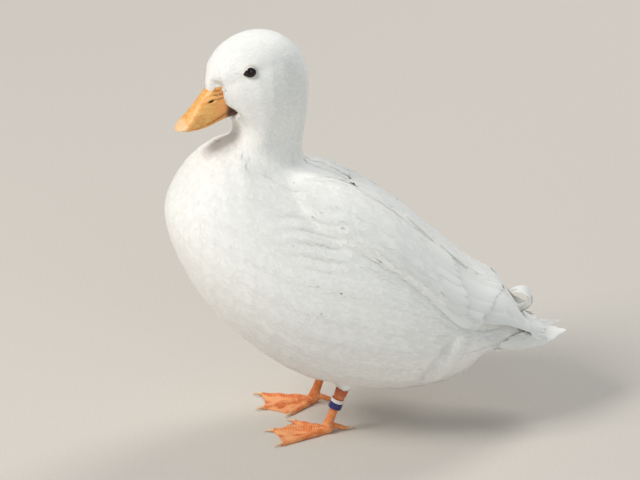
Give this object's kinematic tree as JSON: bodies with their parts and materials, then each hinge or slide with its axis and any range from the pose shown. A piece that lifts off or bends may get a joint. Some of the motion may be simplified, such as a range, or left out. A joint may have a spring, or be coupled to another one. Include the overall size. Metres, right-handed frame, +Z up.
{
  "type": "call duck drake",
  "caption": "Life-size white call duck drake standing still with its head turned, with webbed feet and plastic leg rings.",
  "frame": {"origin": "on the ground under the middle of the bird's bounding box", "axes": "+Z up, +X towards the bird's own left side, -Y the way its body faces, +Y towards its tail"},
  "size_m": [0.1422, 0.2708, 0.2803],
  "materials": {
    "plumage": "soft white feathers, matte with a faint sheen",
    "bill": "smooth yellow-orange horn, satin",
    "leg_skin": "orange scaled skin, satin",
    "claw": "pale horn, satin",
    "eye": "very dark, wet gloss",
    "blue_plastic": "dark blue moulded band, semi gloss",
    "white_plastic": "off-white moulded band, semi gloss"
  },
  "bodies": {
    "root": {"trunk": "plumage", "rump": "plumage", "tail_feathers": "plumage", "tail_curls": "plumage", "neck": "plumage", "head": "plumage", "bill_upper": "bill", "bill_lower": "bill", "wing_left": "plumage", "primaries_left": "plumage", "thigh_left": "plumage", "shank_left": "leg_skin", "foot_left": "leg_skin", "claw_inner_left": "claw", "claw_middle_left": "claw", "claw_outer_left": "claw", "claw_hind_left": "claw", "eye_left": "eye", "wing_right": "plumage", "primaries_right": "plumage", "thigh_right": "plumage", "shank_right": "leg_skin", "foot_right": "leg_skin", "claw_inner_right": "claw", "claw_middle_right": "claw", "claw_outer_right": "claw", "claw_hind_right": "claw", "eye_right": "eye", "leg_ring_blue": "blue_plastic", "leg_ring_white": "white_plastic"}
  },
  "joints": []
}
